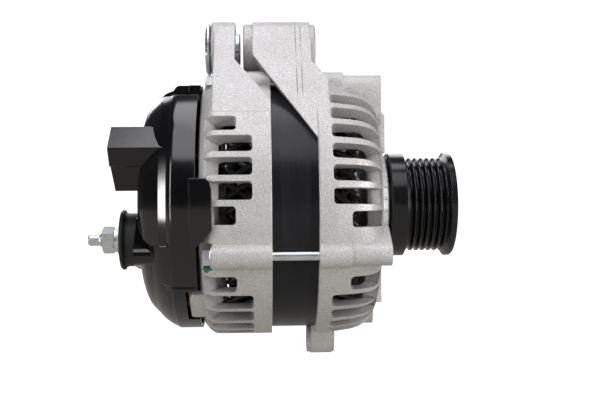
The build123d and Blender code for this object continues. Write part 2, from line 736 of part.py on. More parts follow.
def voltage_regulator():
    """Regulator block with the plug shroud moulded on it."""
    width, height = PLUG_SIZE
    body = block(-148.0, -136.0, -44, 8, 16, 40)
    body += plug_box(-135.0, PLUG_ROOT_X - 0.5, width, height + 3.5)
    body += plug_box(PLUG_ROOT_X, PLUG_END_X, width, height)
    body += plug_prism(latch_outline(0.0), LATCH[0] / 2)
    body -= plug_box(SOCKET_FLOOR_X, PLUG_END_X - 1, width - 2 * PLUG_WALL, height - 2 * PLUG_WALL)
    return body - [plug_pin(index) for index in range(PIN_COUNT)]


def plug_pin(index):
    """One flat pin, seated in the regulator and standing out in the shroud."""
    offset = (index - (PIN_COUNT - 1) / 2) * PIN_PITCH
    tilt = math.radians(PLUG_TILT)
    place = Pos(0, offset * math.cos(tilt), offset * math.sin(tilt))
    return place * plug_box(-154.0, -169.0, 1.8, 0.8, corner=0.2)


def connector_pins():
    """Flat pins in the plug shroud."""
    return Compound(children=[plug_pin(index).solid() for index in range(PIN_COUNT)])


# ---------------------------------------------------------------- cover


def cover_profile(inset):
    """Outline of the cover's skin at a distance inside its outer face."""
    edge = (COVER_EDGE_X, COVER_R - inset)
    wall = (-139.6, COVER_R - inset)
    step = [wall, (-141.9 + inset * 0.6, 69.4 - inset), (-143.4 + inset, 67.4 - inset)]
    ledge = (-147.6 + inset, 65.8 - inset)
    dome = [ledge, (-152.4 + inset, 61.3 - inset * 0.8), (-156.4 + inset, 57.0 - inset * 0.7)]
    dome += [(-159.3 + inset, 50.6 - inset * 0.6), (-161.0 + inset, 41.0 - inset * 0.4)]
    end = (COVER_END_X + inset, 24.0)
    return Curve() + [
        Polyline((COVER_EDGE_X, 0), edge, wall),
        Spline(*step, tangents=[(-1, 0), (-0.6, -0.8)]),
        Line(step[-1], ledge),
        Spline(*dome, tangents=[(-0.75, -0.66), (-0.05, -1)]),
        Polyline(dome[-1], end, (COVER_END_X + inset, 0), (COVER_EDGE_X, 0)),
    ]


def cover_body(inset):
    """Cover's outline turned about the shaft, with a flat beside the hood at the top."""
    body = revolve(make_face(cover_profile(inset)), Axis.X)
    side, low = HOOD_HALF - inset, COVER_FLAT_Z - inset
    return body - block(-170, -120, -80, -side, low, 90) - block(-170, -120, side, 80, low, 90)


def hood_lip():
    """Thin lip that stands out along the hood's near edge."""
    skin = revolve(make_face(cover_profile(0.0)), Axis.X) - revolve(make_face(cover_profile(4.0)), Axis.X)
    return skin & block(-170, -134.5, -HOOD_HALF - 2.0, -HOOD_HALF + 1.0, 40, 80)


def cover_tab():
    """Flat tab that laps over the frame's shoulder."""
    outline = [(-131, 14), (-122.6, 14), (-120.2, 11.4), (-119.4, 8), (-119.4, -12.5), (-128.4, -22)]
    outline += [(-131, -22)]
    near = prism_y(outline, -90, -60)
    lap = near & tube(-131, -119, 76.4, 74.8)
    root = near & tube(-131, COVER_EDGE_X - 0.4, 76.4, COVER_R - COVER_WALL)
    return lap + root


def cover_tower():
    """Raised seat of the positive terminal, hulled out to the cover's near side."""
    return hull_x(TOWER_END_X, -146, (STUD_Y, STUD_Z, TOWER_R), (-51.5, -26.0, 5.0))


def cover_bowl():
    """Smooth lower half of the cover, which hides the step below the terminal."""
    curve = [(-140.2, 70.0), (-144.6, 68.1), (-148.6, 65.3), (-153.0, 60.2)]
    outline = Curve() + [Spline(*curve), Polyline(curve[-1], (-153.0, 56), (-140.2, 56), curve[0])]
    return revolve(make_face(outline), Axis.X) & block(-160, -138, -80, 80, -80, BOWL_TOP_Z)


def rear_cover():
    """Moulded cover: dome, hood, tower, tab, notch, grille and stud pockets."""
    ledge = cover_body(-0.9) & sector(-147, COVER_EDGE_X, 60, 75, -142, -140.6)
    body = cover_body(0.0) + hood_lip() + ledge + cover_tower() + cover_bowl()
    pockets = []
    floors = []
    for place in COVER_STUDS:
        y, z = polar(*place)
        floors.append(disc(-150.2, -146.6, COVER_POCKET_R + 1.6, y, z) + disc(-150.2, -138.2, 5.0, y, z))
        walls = disc(-165.0, -147.0, COVER_POCKET_R + 1.6, y, z)
        floors.append(walls)
        pockets.append(disc(-170, -148.0, COVER_POCKET_R, y, z))
    hollow = cover_body(COVER_WALL) - floors
    hollow += disc(-160, -130, 12.5, STUD_Y, STUD_Z)
    body -= hollow
    body += cover_tab()
    body -= pockets
    body -= cover_stud_holes(COVER_STUD_R + 0.3, -160, -120)
    body -= sector(PAD[0] - 2, -120, 62, 74, PAD[4] - 2.5, PAD[5] + 2.5)
    body -= block(-134.5, -120, -20, 20, COVER_R - 1.3, 80)
    body -= plug_box(-139, -170, PLUG_SIZE[0] + 2 * PLUG_GAP, PLUG_SIZE[1] + 2 * PLUG_GAP)
    body -= plug_prism(latch_outline(PLUG_GAP), LATCH[0] / 2 + PLUG_GAP)
    body -= disc(-170, -130, STUD_R + 3, STUD_Y, STUD_Z)
    grille = []
    for angle in range(-60, 31, 15):
        grille.append(Rot(X=angle - 90) * block(-170, -150, -2.2, 2.2, 20, 38))
    body -= grille
    lug = disc(-133.5, -127.1, 3.4, -8.0, 65.5)
    return body + (lug - cover_body(COVER_WALL))


def cover_studs():
    """Three studs from the rear frame through the cover."""
    studs = cover_stud_holes(COVER_STUD_R, -155.0, REAR_FACE_X)
    return Compound(children=[stud.solid() for stud in studs])


def cover_nuts():
    """Three flanged nuts that hold the cover."""
    nuts = []
    for place in COVER_STUDS:
        y, z = polar(*place)
        nut = hexagon(-152.8, -148.6, 8.0, y, z) + disc(-148.9, -148.0, 5.4, y, z)
        nuts.append((nut - disc(-160, -140, COVER_STUD_R, y, z)).solid())
    return Compound(children=nuts)


# ---------------------------------------------------------------- positive terminal


def b_plus_stud():
    """M8 stud with a hexagon head inside and a plain dog point outside."""
    end = STUD_END_X
    outline = [(end, 0), (end, 2.5), (end + 0.8, 3.25), (end + 6.2, 3.25), (end + 6.8, STUD_R)]
    outline += [(-138.0, STUD_R), (-138.0, 0)]
    stud = Pos(0, STUD_Y, STUD_Z) * turned(outline)
    return stud + hexagon(-138.0, -134.6, 13.0, STUD_Y, STUD_Z, 30)


def b_plus_ring(x0, x1, r, gap=0.0):
    """Washer on the terminal stud, split where a gap is given."""
    ring = tube(x0, x1, r, STUD_R, STUD_Y, STUD_Z)
    if gap:
        ring -= block(x0 - 1, x1 + 1, STUD_Y - r - 1, STUD_Y, STUD_Z - gap / 2, STUD_Z + gap / 2)
    return ring


def b_plus_insulator():
    """Rubbery insulator with a wide flange around the terminal stud."""
    end = INSULATOR_END_X
    outline = [(TOWER_END_X, STUD_R), (TOWER_END_X, 14.7), (end + 4.2, 14.7), (end + 2.8, 15.2)]
    outline += [(end + 2.2, 16.4), (end + 1.1, 16.6), (end + 0.2, 15.8), (end, 12.0), (end, STUD_R)]
    return Pos(0, STUD_Y, STUD_Z) * turned(outline)


# ---------------------------------------------------------------- pivot bush


def mounting_bush():
    """Split flanged bush that slides in the rear ear."""
    x0, x1 = BUSH_FLANGE
    outline = [(x0, PIVOT_R), (x0, 12.9), (x0 + 0.4, 14.0), (x0 + 1.2, BUSH_FLANGE_R)]
    outline += [(x1 - 0.8, BUSH_FLANGE_R), (x1, 13.7), (x1, BUSH_R), (BUSH_END_X - 0.6, BUSH_R)]
    outline += [(BUSH_END_X, BUSH_R - 0.6), (BUSH_END_X, PIVOT_R)]
    body = turned(outline)
    slit = Rot(X=199 - 90) * block(x0 - 1, BUSH_END_X + 1, -0.8, 0.8, 2, 20)
    return Pos(0, 0, PIVOT_Z) * (body - slit)


# ---------------------------------------------------------------- output


def main():
    os.makedirs("parts", exist_ok=True)
    save("front_frame", front_frame())
    save("rear_frame", rear_frame())
    save("stator_core", stator_core())
    save("stator_winding", stator_winding())
    save("through_bolts", through_bolts())
    save("bearing_retainer_plate", retainer_plate())
    save("retainer_screws", retainer_screws())
    for name, bearing in (("front", FRONT_BEARING), ("rear", REAR_BEARING)):
        inner, outer, balls, cage = bearing_parts(bearing)
        save(f"{name}_bearing_inner_race", inner)
        save(f"{name}_bearing_outer_race", outer)
        save(f"{name}_bearing_balls", balls)
        save(f"{name}_bearing_cage", cage)
    save("rotor_shaft", rotor_shaft())
    save("front_pole_claw", pole_claw(True))
    save("rear_pole_claw", pole_claw(False))
    save("coil_bobbin", coil_bobbin())
    save("field_coil", field_coil())
    save("front_fan", fan(CLAW_FRONT_X[1], CLAW_FRONT_X[1] + 1.4, BLADE_END_FRONT_X))
    save("rear_fan", fan(CLAW_REAR_X[0], CLAW_REAR_X[0] - 1.4, BLADE_END_REAR_X))
    save("front_spacer", tube(CLAW_FRONT_X[1] + 1.4, FRONT_BEARING[0], 12.0, 8.5))
    save("slip_rings", slip_rings())
    save("slip_ring_insulator", slip_ring_insulator())
    save("pulley_hub", pulley_hub())
    save("clutch_rollers", clutch_rollers())
    save("pulley_sheave", pulley_sheave())
    save("pulley_cap", pulley_cap())
    save("brush_holder", brush_holder())
    for name, x in zip(("front", "rear"), SLIP_RING_X):
        save(f"brush_{name}", brush(x))
        save(f"brush_spring_{name}", brush_spring(x))
    save("rectifier_negative_plate", negative_plate())
    save("rectifier_positive_plate", positive_plate())
    save("rectifier_diodes", rectifier_diodes())
    save("rectifier_terminal_board", terminal_board())
    save("voltage_regulator", voltage_regulator())
    save("connector_pins", connector_pins())
    save("rear_cover", rear_cover())
    save("cover_studs", cover_studs())
    save("cover_nuts", cover_nuts())
    save("b_plus_stud", b_plus_stud())
    save("b_plus_insulator", b_plus_insulator())
    washer_end = INSULATOR_END_X - 1.8
    spring_end = washer_end - 1.8
    save("b_plus_flat_washer", b_plus_ring(washer_end, INSULATOR_END_X, 8.0))
    save("b_plus_spring_washer", b_plus_ring(spring_end, washer_end, 6.8, 1.2))
    nut = hexagon(spring_end - 6.6, spring_end, 13.0, STUD_Y, STUD_Z, 30)
    save("b_plus_nut", nut - disc(-190, -170, STUD_R, STUD_Y, STUD_Z))
    save("mounting_bush", mounting_bush())


main()
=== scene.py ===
import json
import math

import bpy
from mathutils import Matrix, Vector


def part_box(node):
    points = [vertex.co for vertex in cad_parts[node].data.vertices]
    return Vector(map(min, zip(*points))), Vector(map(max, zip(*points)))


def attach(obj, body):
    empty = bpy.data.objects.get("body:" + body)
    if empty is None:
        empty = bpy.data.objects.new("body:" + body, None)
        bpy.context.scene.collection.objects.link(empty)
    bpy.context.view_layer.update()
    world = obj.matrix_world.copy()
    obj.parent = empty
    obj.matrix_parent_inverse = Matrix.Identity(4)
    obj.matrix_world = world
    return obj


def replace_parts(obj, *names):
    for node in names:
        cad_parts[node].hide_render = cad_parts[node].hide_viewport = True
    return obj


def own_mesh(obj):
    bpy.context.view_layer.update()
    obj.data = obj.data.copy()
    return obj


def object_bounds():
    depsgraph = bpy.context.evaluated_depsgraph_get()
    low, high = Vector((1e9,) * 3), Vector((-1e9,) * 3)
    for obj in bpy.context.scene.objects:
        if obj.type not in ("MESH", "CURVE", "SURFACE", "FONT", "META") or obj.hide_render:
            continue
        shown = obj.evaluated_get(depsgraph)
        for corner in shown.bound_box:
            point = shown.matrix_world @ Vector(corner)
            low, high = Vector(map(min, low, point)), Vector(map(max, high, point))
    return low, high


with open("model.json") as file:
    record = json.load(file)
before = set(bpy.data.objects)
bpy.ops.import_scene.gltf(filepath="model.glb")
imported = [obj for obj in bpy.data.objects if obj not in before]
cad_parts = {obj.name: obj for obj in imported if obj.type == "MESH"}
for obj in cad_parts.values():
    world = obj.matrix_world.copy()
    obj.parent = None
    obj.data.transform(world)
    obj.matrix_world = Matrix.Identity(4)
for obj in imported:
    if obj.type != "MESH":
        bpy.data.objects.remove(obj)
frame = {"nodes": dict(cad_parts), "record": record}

CAD_BOX = [list(corner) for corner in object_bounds()]
MM = 0.001
NODES = frame["nodes"]


# ---------------------------------------------------------------- camera, light, floor

CAMERA_DISTANCE = 0.560
CAMERA_X = -0.0949
CAMERA_Z = 0.0
AIM_X = -0.0714
AIM_Z = 0.0030
CAMERA_ROLL = -0.5
FIELD_WIDTH = 0.352
SENSOR = 36.0

WORLD_LIGHT = 0.05
FLOOR_LIGHT = 0.40
TOP_POWER = 3.9
FRONT_POWER = 3.5
LEFT_POWER = 3.8
RIGHT_POWER = 6.0
BACK_POWER = 3.2
OVERHEAD_TINT = (0.97, 0.955, 1.0)
SEEN_WHITE = 1.2
FLOOR_SIZE = 6.0
FLOOR_DROP = 0.05


def camera():
    """Camera beside the object, looking along +Y."""
    data = bpy.data.cameras.new("camera")
    data.sensor_width = SENSOR
    data.lens = SENSOR * CAMERA_DISTANCE / FIELD_WIDTH
    data.clip_start = 0.01
    obj = bpy.data.objects.new("camera", data)
    bpy.context.scene.collection.objects.link(obj)
    place = Vector((CAMERA_X, -CAMERA_DISTANCE, CAMERA_Z))
    aim = Vector((AIM_X, 0.0, AIM_Z))
    turn = (aim - place).to_track_quat("-Z", "Y").to_matrix().to_4x4()
    roll = Matrix.Rotation(math.radians(CAMERA_ROLL), 4, "Z")
    obj.matrix_world = Matrix.Translation(place) @ turn @ roll
    bpy.context.scene.camera = obj


def softbox(name, place, size, power, aim=(-0.08, 0.0, 0.0), tint=(1.0, 1.0, 1.0)):
    """Rectangular soft light aimed at the object."""
    data = bpy.data.lights.new(name, "AREA")
    data.shape = "RECTANGLE"
    data.size, data.size_y = size
    data.energy = power
    data.color = tint
    obj = bpy.data.objects.new(name, data)
    bpy.context.scene.collection.objects.link(obj)
    obj.location = place
    obj.rotation_euler = (Vector(aim) - Vector(place)).to_track_quat("-Z", "Y").to_euler()


def camera_split(tree, seen, lit):
    """Shader that the camera sees, with another one for the light it throws."""
    path = tree.nodes.new("ShaderNodeLightPath")
    mix = tree.nodes.new("ShaderNodeMixShader")
    tree.links.new(path.outputs["Is Camera Ray"], mix.inputs[0])
    tree.links.new(lit, mix.inputs[1])
    tree.links.new(seen, mix.inputs[2])
    return mix.outputs[0]


def glow(tree, kind, color, strength):
    """Background or emission shader of one colour."""
    made = tree.nodes.new(kind)
    made.inputs["Color"].default_value = (*color, 1)
    made.inputs["Strength"].default_value = strength
    return made.outputs[0]


def studio():
    """White surroundings seen by the camera, dim ones for light, and soft boxes."""
    world = bpy.data.worlds.new("studio")
    bpy.context.scene.world = world
    world.use_nodes = True
    tree = world.node_tree
    tree.nodes.clear()
    out = tree.nodes.new("ShaderNodeOutputWorld")
    seen = glow(tree, "ShaderNodeBackground", (1, 1, 1), SEEN_WHITE)
    lit = glow(tree, "ShaderNodeBackground", (0.92, 0.95, 1.0), WORLD_LIGHT)
    tree.links.new(camera_split(tree, seen, lit), out.inputs[0])
    softbox("top_box", (-0.13, 0.05, 1.20), (0.65, 0.64), TOP_POWER, tint=OVERHEAD_TINT)
    softbox("front_box", (-0.13, -0.64, 1.02), (0.65, 0.72), FRONT_POWER, tint=OVERHEAD_TINT)
    softbox("left_box", (-0.63, -0.51, 0.04), (0.045, 0.9), LEFT_POWER)
    softbox("right_box", (0.47, -0.51, 0.04), (0.12, 0.9), RIGHT_POWER)
    softbox("back_box", (-0.08, 0.70, 0.45), (0.8, 0.5), BACK_POWER)
    bpy.context.scene.view_settings.view_transform = "Standard"


def floor():
    """Pale floor a little below the object."""
    size = FLOOR_SIZE
    low = CAD_BOX[0][2] - FLOOR_DROP
    mesh = bpy.data.meshes.new("floor")
    corners = [(-size, -size, low), (size, -size, low), (size, size, low), (-size, size, low)]
    mesh.from_pydata(corners, [], [(0, 1, 2, 3)])
    obj = bpy.data.objects.new("floor", mesh)
    bpy.context.scene.collection.objects.link(obj)
    mat = bpy.data.materials.new("floor")
    mat.use_nodes = True
    tree = mat.node_tree
    tree.nodes.clear()
    out = tree.nodes.new("ShaderNodeOutputMaterial")
    seen = glow(tree, "ShaderNodeEmission", (1, 1, 1), SEEN_WHITE)
    lit = glow(tree, "ShaderNodeEmission", (1.0, 0.95, 0.87), FLOOR_LIGHT)
    tree.links.new(camera_split(tree, seen, lit), out.inputs[0])
    obj.data.materials.append(mat)


# ---------------------------------------------------------------- material kit


class Paint:
    """A Principled material with short calls for the nodes that feed it."""

    def __init__(self, name, color, roughness, metallic=0.0, **sockets):
        self.mat = bpy.data.materials.new(name)
        self.mat.use_nodes = True
        self.tree = self.mat.node_tree
        self.shader = self.tree.nodes["Principled BSDF"]
        self.shader.inputs["Base Color"].default_value = (*color, 1)
        self.shader.inputs["Roughness"].default_value = roughness
        self.shader.inputs["Metallic"].default_value = metallic
        for socket, value in sockets.items():
            self.shader.inputs[socket.replace("_", " ")].default_value = value
        self.place = self.node("ShaderNodeTexCoord").outputs["Object"]

    def node(self, kind, **values):
        """New node; values whose name is a socket set it, others set an attribute."""
        made = self.tree.nodes.new(kind)
        for name, value in values.items():
            if name in made.inputs:
                made.inputs[name].default_value = value
            else:
                setattr(made, name, value)
        return made

    def link(self, output, socket):
        self.tree.links.new(output, socket)

    def scaled(self, scale):
        """Object coordinates stretched per axis."""
        mapping = self.node("ShaderNodeMapping")
        mapping.inputs["Scale"].default_value = scale
        self.link(self.place, mapping.inputs["Vector"])
        return mapping.outputs[0]

    def noise(self, scale, detail=3.0, rough=0.55, stretch=None):
        """Noise at a scale given per metre."""
        made = self.node("ShaderNodeTexNoise", Scale=scale, Detail=detail, Roughness=rough)
        self.link(self.scaled(stretch) if stretch else self.place, made.inputs["Vector"])
        return made.outputs["Fac"]

    def ramp(self, value, low, high, at=(0.0, 1.0)):
        """Colour or grey ramp between two values."""
        made = self.node("ShaderNodeValToRGB")
        first, last = made.color_ramp.elements
        first.position, last.position = at
        first.color = (*low, 1) if isinstance(low, tuple) else (low, low, low, 1)
        last.color = (*high, 1) if isinstance(high, tuple) else (high, high, high, 1)
        self.link(value, made.inputs["Fac"])
        return made.outputs["Color"]

    def mix(self, factor, one, two, blend="MIX"):
        """Mix of two colours; a tuple stands for a plain colour."""
        made = self.node("ShaderNodeMix", data_type="RGBA", blend_type=blend)
        if isinstance(factor, float):
            made.inputs[0].default_value = factor
        else:
            self.link(factor, made.inputs[0])
        for value, socket in ((one, made.inputs[6]), (two, made.inputs[7])):
            if isinstance(value, tuple):
                socket.default_value = (*value, 1)
            else:
                self.link(value, socket)
        return made.outputs[2]

    def seam(self, x, width):
        """Broken ridge along the plane at one place on the shaft's axis."""
        parts = self.node("ShaderNodeSeparateXYZ")
        self.link(self.place, parts.inputs[0])
        away = self.node("ShaderNodeMath", operation="SUBTRACT")
        self.link(parts.outputs["X"], away.inputs[0])
        away.inputs[1].default_value = x
        size = self.node("ShaderNodeMath", operation="ABSOLUTE")
        self.link(away.outputs[0], size.inputs[0])
        ridge = self.node("ShaderNodeMapRange")
        ridge.inputs["From Max"].default_value = width
        ridge.inputs["To Min"].default_value = 1.0
        ridge.inputs["To Max"].default_value = 0.0
        self.link(size.outputs[0], ridge.inputs["Value"])
        broken = self.ramp(self.noise(70, detail=2.0), 0.0, 1.0, at=(0.42, 0.56))
        both = self.node("ShaderNodeMath", operation="MULTIPLY")
        self.link(ridge.outputs[0], both.inputs[0])
        self.link(broken, both.inputs[1])
        return both.outputs[0]

    def color(self, output):
        self.link(output, self.shader.inputs["Base Color"])

    def rough(self, output):
        self.link(output, self.shader.inputs["Roughness"])

    def bump(self, *layers, edge=0.0):
        """Bump layers of (height, distance in metres, strength), over softened edges."""
        normal = None
        if edge:
            soft = self.node("ShaderNodeBevel", samples=4)
            soft.inputs["Radius"].default_value = edge
            normal = soft.outputs[0]
        for height, distance, strength in layers:
            made = self.node("ShaderNodeBump", Distance=distance, Strength=strength)
            self.link(height, made.inputs["Height"])
            if normal:
                self.link(normal, made.inputs["Normal"])
            normal = made.outputs[0]
        self.link(normal, self.shader.inputs["Normal"])


# ---------------------------------------------------------------- materials


# the seams of the drive-end casting, as places on the shaft's axis
PARTING_LINES = (-0.0741, -0.0712)
SEAM_WIDTH = 0.0003


def cast_aluminium(name="cast_aluminium"):
    """Shot-blasted casting with a fine sparkling grain."""
    paint = Paint(name, (0.6, 0.59, 0.58), 0.5, metallic=0.45)
    grain = paint.noise(1700, detail=2.0)
    patches = paint.noise(60, detail=3.0)
    base = paint.ramp(grain, (0.42, 0.415, 0.41), (0.76, 0.752, 0.75), at=(0.30, 0.70))
    worn = paint.ramp(patches, (0.93, 0.925, 0.92), (1.0, 1.0, 1.0), at=(0.35, 0.65))
    paint.color(paint.mix(1.0, base, worn, "MULTIPLY"))
    paint.rough(paint.ramp(grain, 0.62, 0.42, at=(0.3, 0.7)))
    layers = [(grain, 0.0002, 0.55), (paint.noise(420, detail=4.0), 0.0002, 0.22)]
    layers += [(paint.seam(x, SEAM_WIDTH), 0.0003, 0.8) for x in PARTING_LINES]
    paint.bump(*layers, edge=0.0007)
    return paint.mat


def core_black():
    """Black paint over turned laminations: streaks around the core."""
    paint = Paint("core_black", (0.010, 0.010, 0.012), 0.28, IOR=1.36)
    streaks = paint.noise(1.0, detail=4.0, stretch=(900, 6, 6))
    broad = paint.noise(1.0, detail=2.0, stretch=(130, 12, 12))
    paint.color(paint.ramp(broad, (0.006, 0.006, 0.007), (0.016, 0.016, 0.020)))
    paint.rough(paint.ramp(streaks, 0.20, 0.36))
    paint.bump((streaks, 0.00006, 0.7))
    return paint.mat


def gloss_black(name, rough=0.14, peel=0.12, ior=1.66):
    """Glossy moulded plastic with a faint orange peel."""
    paint = Paint(name, (0.004, 0.004, 0.005), rough, IOR=ior)
    smudge = paint.noise(35, detail=4.0)
    paint.color(paint.ramp(smudge, (0.0015, 0.0015, 0.002), (0.004, 0.004, 0.005)))
    paint.rough(paint.ramp(smudge, rough - 0.04, rough + 0.08))
    paint.bump((paint.noise(260, detail=2.0), 0.00015, peel), edge=0.0006)
    return paint.mat


def pulley_black():
    """Black coating over turned steel."""
    paint = Paint("pulley_black", (0.006, 0.006, 0.007), 0.17)
    rings = paint.noise(1.0, detail=3.0, stretch=(1600, 15, 15))
    paint.color(paint.ramp(rings, (0.004, 0.004, 0.005), (0.010, 0.010, 0.012)))
    paint.rough(paint.ramp(rings, 0.12, 0.26))
    paint.bump((rings, 0.00005, 0.35), edge=0.0003)
    return paint.mat


def rubber(name="insulator_rubber"):
    """Satin moulded rubber."""
    paint = Paint(name, (0.012, 0.012, 0.012), 0.5)
    skin = paint.noise(900, detail=3.0)
    paint.color(paint.ramp(paint.noise(50), (0.009, 0.009, 0.009), (0.020, 0.020, 0.020)))
    paint.rough(paint.ramp(skin, 0.42, 0.60))
    paint.bump((skin, 0.0001, 0.25), edge=0.0004)
    return paint.mat


def steel(name, color, rough, streak=(40, 600, 600), edge=0.0003, depth=0.00006):
    """Plated or ground steel with fine tool marks."""
    paint = Paint(name, color, rough, metallic=1.0)
    marks = paint.noise(1.0, detail=3.0, stretch=streak)
    cloud = paint.noise(160, detail=3.0)
    dark = tuple(0.78 * c for c in color)
    paint.color(paint.ramp(cloud, dark, color, at=(0.25, 0.6)))
    paint.rough(paint.ramp(marks, max(rough - 0.08, 0.05), rough + 0.12))
    paint.bump((marks, depth, 0.4), edge=edge)
    return paint.mat


def matte(name, color, rough=0.6):
    """Moulded matte plastic or pressed carbon."""
    paint = Paint(name, color, rough)
    skin = paint.noise(700, detail=3.0)
    paint.color(paint.ramp(paint.noise(80), tuple(0.75 * c for c in color), color))
    paint.rough(paint.ramp(skin, rough - 0.1, rough + 0.12))
    paint.bump((skin, 0.00015, 0.3), edge=0.0003)
    return paint.mat


def iron():
    """Forged iron, turned on the outside."""
    paint = Paint("claw_iron", (0.16, 0.16, 0.165), 0.5, metallic=0.8)
    rings = paint.noise(1.0, detail=3.0, stretch=(1200, 20, 20))
    paint.color(paint.ramp(paint.noise(120), (0.09, 0.085, 0.085), (0.22, 0.22, 0.225)))
    paint.rough(paint.ramp(rings, 0.38, 0.62))
    paint.bump((rings, 0.0001, 0.4), edge=0.0004)
    return paint.mat


def paint_mark():
    """Brushed green inspection paint."""
    paint = Paint("paint_mark", (0.0, 0.12, 0.07), 0.35)
    strokes = paint.noise(900, detail=3.0)
    paint.color(paint.ramp(strokes, (0.002, 0.09, 0.045), (0.02, 0.20, 0.12)))
    paint.rough(paint.ramp(strokes, 0.28, 0.5))
    paint.bump((strokes, 0.00015, 0.4))
    return paint.mat


def winding_varnish():
    """Glossy black varnish."""
    paint = Paint("winding", (0.008, 0.008, 0.009), 0.18)
    runs = paint.noise(90, detail=3.0)
    paint.color(paint.ramp(runs, (0.004, 0.004, 0.005), (0.014, 0.012, 0.012)))
    paint.rough(paint.ramp(runs, 0.14, 0.34))
    paint.bump((paint.noise(300), 0.0003, 0.3), edge=0.0004)
    return paint.mat


def assign_materials():
    """A material for each slot of the record, and a duller one for the moulded plug."""
    looks = {
        "cast_aluminium": cast_aluminium(),
        "core_black": core_black(),
        "winding": winding_varnish(),
        "copper": steel("copper", (0.70, 0.34, 0.20), 0.25),
        "zinc_steel": steel("zinc_steel", (0.84, 0.87, 0.90), 0.32),
        "bearing_steel": steel("bearing_steel", (0.75, 0.75, 0.75), 0.12),
        "cage_plastic": matte("cage_plastic", (0.10, 0.09, 0.07)),
        "shaft_steel": steel("shaft_steel", (0.60, 0.60, 0.60), 0.28),
        "claw_iron": iron(),
        "fan_steel": gloss_black("fan_steel", rough=0.3),
        "pulley_black": pulley_black(),
        "hub_steel": steel("hub_steel", (0.42, 0.42, 0.43), 0.3),
        "cover_black": gloss_black("cover_black"),
        "board_black": matte("board_black", (0.025, 0.025, 0.025)),
        "insulator_rubber": rubber(),
        "cap_plastic": matte("cap_plastic", (0.02, 0.02, 0.02), 0.45),
        "heat_sink": cast_aluminium("heat_sink"),
        "carbon": matte("carbon", (0.03, 0.03, 0.035), 0.5),
        "spring_steel": steel("spring_steel", (0.55, 0.55, 0.55), 0.25),
        "pin_tin": steel("pin_tin", (0.80, 0.80, 0.76), 0.2),
        "coil_wire": steel("coil_wire", (0.60, 0.27, 0.13), 0.3, streak=(900, 30, 30)),
        "bobbin_plastic": matte("bobbin_plastic", (0.50, 0.46, 0.36), 0.5),
    }
    for part in frame["record"]["subparts"]:
        node = NODES[part["node"]]
        node.data.materials.clear()
        node.data.materials.append(looks[part["material_slot"]])
    plug = NODES["voltage_regulator"]
    plug.data.materials.clear()
    plug.data.materials.append(gloss_black("plug_black", rough=0.18, ior=1.56))
    return looks


# ---------------------------------------------------------------- pieces built in mesh code


# winding, in mm: (outer radius, inner radius, depth of conductor) of each hairpin layer
SLOTS = 48
HAIRPIN_SPAN = 3  # slots
OUTER_LAYER = (63.2, 61.2, 1.7)
INNER_LAYER = (59.4, 57.9, 1.4)
CONDUCTOR_WIDTH = 2.9
TIP_ROOM = 1.4
INNER_TIP_BACK = 1.2
LACING_BACK = 1.5
LACING_RADII = (56.7, 57.1)

# terminal stud, in mm
THREAD_PITCH = 1.25
THREAD_STEPS = 8
HEAD_DEPTH = 3.4
HEAD_R = 7.3
HEAD_TOP_R = 6.6

# brush springs, in metres
SPRING_WIRE_R = 0.0003
SPRING_TURNS = 6.5
SPRING_STEPS = 156
SPRING_SIDES = 10

# inspection mark, in metres
MARK_X = -0.1226
MARK_Z = -0.0322
MARK_FACE_Y = -0.066
MARK_LIFT = 0.00012
MARK_SINK = -0.0004
RAY_ROOM = 0.02


def piece(name, verts, faces, slot, body="housing", look=None):
    """Smooth-shaded mesh that rides a body and takes a material slot."""
    mesh = bpy.data.meshes.new(name)
    mesh.from_pydata([tuple(v) for v in verts], [], faces)
    mesh.shade_smooth()
    obj = bpy.data.objects.new(name, mesh)
    bpy.context.scene.collection.objects.link(obj)
    obj.data.materials.append(look or LOOKS[slot])
    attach(obj, body)
    return obj


def ring_faces(first, rings, sides, close=False):
    """Quads between successive rings of vertices; close joins the last ring to the first."""
    faces = []
    for ring in range(rings if close else rings - 1):
        here = first + ring * sides
        after = first + (ring + 1) % rings * sides
        for side in range(sides):
            turn = (side + 1) % sides
            faces.append((here + side, here + turn, after + turn, after + side))
    return faces


def spread(x, angle, r):
    """Point from a position along the shaft, an angle about it in degrees and a radius, in mm."""
    turn = math.radians(angle)
    return Vector((x, r * math.cos(turn), r * math.sin(turn))) * MM


def hairpin_path(root, tip, angle, half, r_out, r_in):
    """Centre line of one hairpin: out of its slot, slanting to the tip, over and back."""
    way = 1 if tip > root else -1
    reach = abs(tip - root)
    going = [(-3.0, 0.0), (1.2, 0.0), (2.4, 0.05), (reach * 0.35, 0.30), (reach * 0.6, 0.55)]
    going += [(reach * 0.8, 0.76), (reach * 0.93, 0.90)]
    path = [spread(root + way * out, angle + half * part, r_out) for out, part in going]
    middle = (r_out + r_in) / 2
    path.append(spread(tip, angle + half * 0.97, r_out - (r_out - middle) * 0.6))
    path.append(spread(tip, angle + half * 1.03, r_in + (middle - r_in) * 0.6))
    for out, part in reversed(going):
        path.append(spread(root + way * out, angle + half * (2 - part), r_in))
    return path


def sweep(verts, faces, path, width, depth, sides=8):
    """Adds a rounded rectangular conductor along a path, kept square to the shaft's radius."""
    first = len(verts)
    for index, point in enumerate(path):
        before, after = path[max(index - 1, 0)], path[min(index + 1, len(path) - 1)]
        along = (after - before).normalized()
        out = Vector((0, point.y, point.z)).normalized()
        across = along.cross(out).normalized()
        out = across.cross(along)
        for side in range(sides):
            turn = 2 * math.pi * (side + 0.5) / sides
            u = math.copysign(abs(math.cos(turn)) ** 0.6, math.cos(turn)) * width / 2
            v = math.copysign(abs(math.sin(turn)) ** 0.6, math.sin(turn)) * depth / 2
            verts.append(point + (across * u + out * v) * MM)
    faces += ring_faces(first, len(path), sides)
    faces.append(tuple(first + side for side in reversed(range(sides))))
    faces.append(tuple(first + (len(path) - 1) * sides + side for side in range(sides)))


